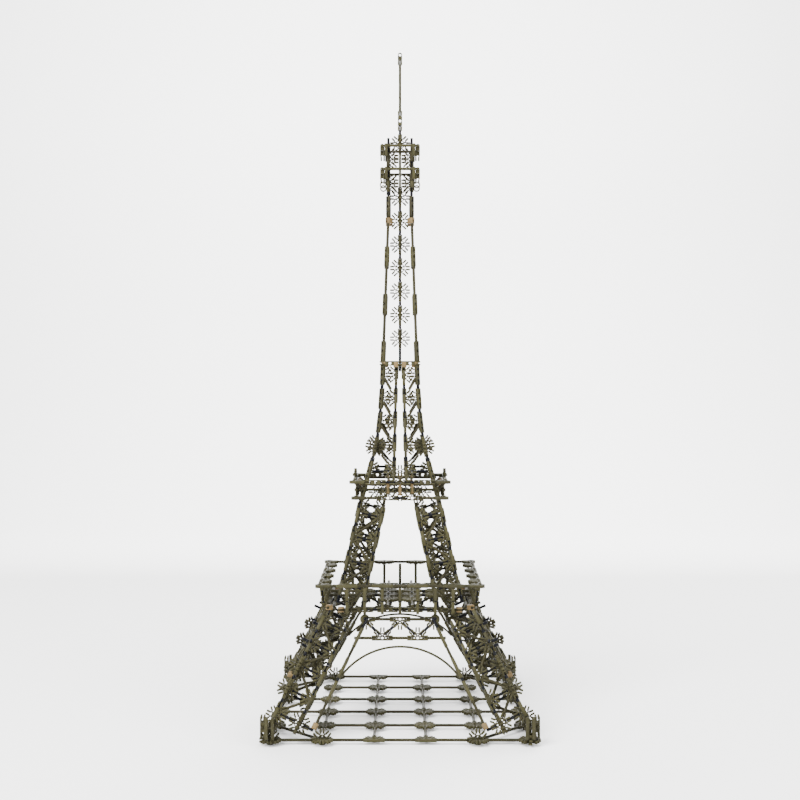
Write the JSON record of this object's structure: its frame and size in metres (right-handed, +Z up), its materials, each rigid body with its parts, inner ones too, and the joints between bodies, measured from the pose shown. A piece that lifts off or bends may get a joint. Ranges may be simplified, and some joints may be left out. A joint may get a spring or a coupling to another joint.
{
  "type": "miniature landmark model",
  "caption": "Four-legged lattice tower model built from snap-together plastic rods and flat connectors, with base grid, arches, two platforms, tapering shaft, cabin and mast.",
  "frame": {"origin": "centre of the footprint, on the surface that the tower stands on", "axes": "+Z up along the tower's axis, -Y towards the front face, +X to the right of it"},
  "size_m": [0.2878, 0.2878, 0.7408],
  "materials": {
    "olive_plastic": "satin, mottled olive bronze",
    "olive_rod_plastic": "satin, mottled olive bronze",
    "black_plastic": "semi-gloss blue black",
    "tan_plastic": "satin tan",
    "grey_plastic": "satin light grey"
  },
  "bodies": {
    "root": {"arch_back": "olive_rod_plastic", "arch_front": "olive_rod_plastic", "arch_left": "olive_rod_plastic", "arch_right": "olive_rod_plastic", "balcony_connectors": "olive_plastic", "balcony_rods": "olive_rod_plastic", "cabin_beams": "olive_plastic", "cabin_core_rod": "grey_plastic", "cabin_hangers": "olive_plastic", "cabin_links": "black_plastic", "cabin_posts": "olive_rod_plastic", "cabin_snowflakes": "olive_plastic", "collar_plates": "olive_plastic", "deck_snowflakes": "olive_plastic", "foot_connectors": "olive_plastic", "foot_posts": "olive_rod_plastic", "gallery_connectors": "olive_plastic", "gallery_links": "black_plastic", "gallery_rods": "olive_rod_plastic", "ground_edge_connectors": "olive_plastic", "ground_rods": "olive_rod_plastic", "ground_snowflakes": "olive_plastic", "leg_diagonals_back_left": "olive_rod_plastic", "leg_diagonals_back_right": "olive_rod_plastic", "leg_diagonals_front_left": "olive_rod_plastic", "leg_diagonals_front_right": "olive_rod_plastic", "leg_links_back_left": "black_plastic", "leg_links_back_right": "black_plastic", "leg_links_front_left": "black_plastic", "leg_links_front_right": "black_plastic", "leg_pegs": "black_plastic", "leg_plates_back_left": "olive_plastic", "leg_plates_back_right": "olive_plastic", "leg_plates_front_left": "olive_plastic", "leg_plates_front_right": "olive_plastic", "mast_cap": "olive_plastic", "mast_coupler": "olive_plastic", "mast_rod": "olive_rod_plastic", "mast_stub": "black_plastic", "platform_links": "black_plastic", "platform_plates": "olive_plastic", "platform_rods": "olive_rod_plastic", "shaft_chord_plates": "olive_plastic", "shaft_diagonals": "olive_rod_plastic", "shaft_fans": "olive_plastic", "shaft_links": "black_plastic", "shoulder_diagonals": "olive_rod_plastic", "shoulder_links": "black_plastic", "shoulder_plates": "olive_plastic", "spine_links": "black_plastic", "spine_snowflakes": "olive_plastic", "spire_couplers": "olive_plastic", "spire_rods": "olive_rod_plastic", "strut_couplers": "olive_plastic", "strut_links": "black_plastic", "strut_rods": "olive_rod_plastic", "tan_clips": "tan_plastic", "truss_connectors": "olive_plastic", "truss_links": "black_plastic", "truss_rods": "olive_rod_plastic"}
  },
  "joints": []
}
